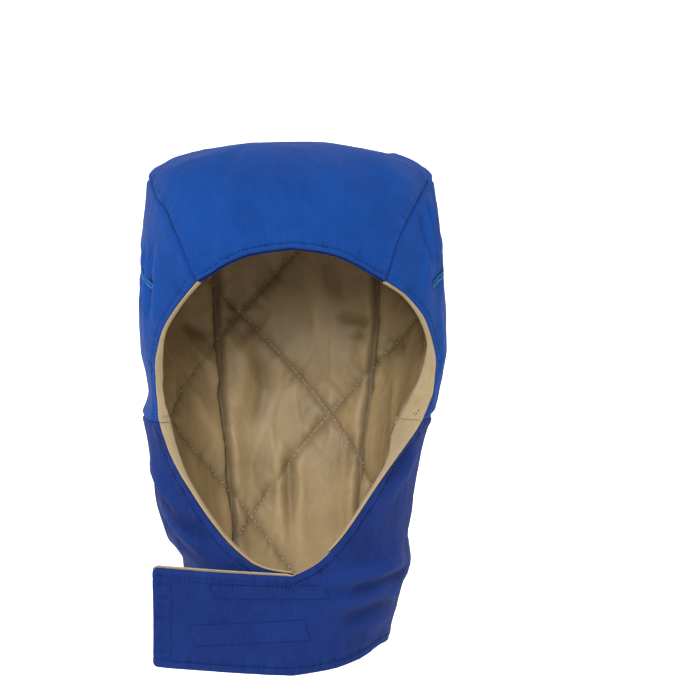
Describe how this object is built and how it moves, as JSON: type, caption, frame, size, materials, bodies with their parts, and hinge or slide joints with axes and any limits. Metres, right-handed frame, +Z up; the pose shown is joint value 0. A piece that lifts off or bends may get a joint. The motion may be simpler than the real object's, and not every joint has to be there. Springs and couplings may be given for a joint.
{
  "type": "hard hat liner",
  "caption": "Shoulder-length quilted cloth hood worn under a hard hat, with an egg-shaped face opening, strap slots and a wrap-over chin flap.",
  "frame": {"origin": "crown seat: the inside top of the crown lining, where the top of the head rests", "axes": "+Z up, the face looks along -Y, +X to the right of someone who looks at the face opening"},
  "size_m": [0.2316, 0.2126, 0.386],
  "materials": {
    "shell_twill": "matte cotton twill, royal blue",
    "quilted_lining": "soft sheen, tan, quilted",
    "facing_twill": "matte cotton twill, light tan",
    "slot_thread": "satin stitch, bright blue",
    "closure_tape": "hook and loop tape, navy"
  },
  "bodies": {
    "root": {"crown_panel": "shell_twill", "hood_panel": "shell_twill", "neck_panel": "shell_twill", "chin_flap": "shell_twill", "brow_facing": "shell_twill", "crown_lining": "quilted_lining", "back_lining": "quilted_lining", "flap_facing": "facing_twill", "left_lining": "quilted_lining", "left_upper_facing": "facing_twill", "left_lower_facing": "facing_twill", "left_front_slot_rim": "slot_thread", "left_rear_slot_rim": "slot_thread", "right_lining": "quilted_lining", "right_upper_facing": "facing_twill", "right_lower_facing": "facing_twill", "right_front_slot_rim": "slot_thread", "right_rear_slot_rim": "slot_thread", "upper_hook_tape": "closure_tape", "upper_loop_tape": "closure_tape", "lower_hook_tape": "closure_tape", "lower_loop_tape": "closure_tape"}
  },
  "joints": []
}
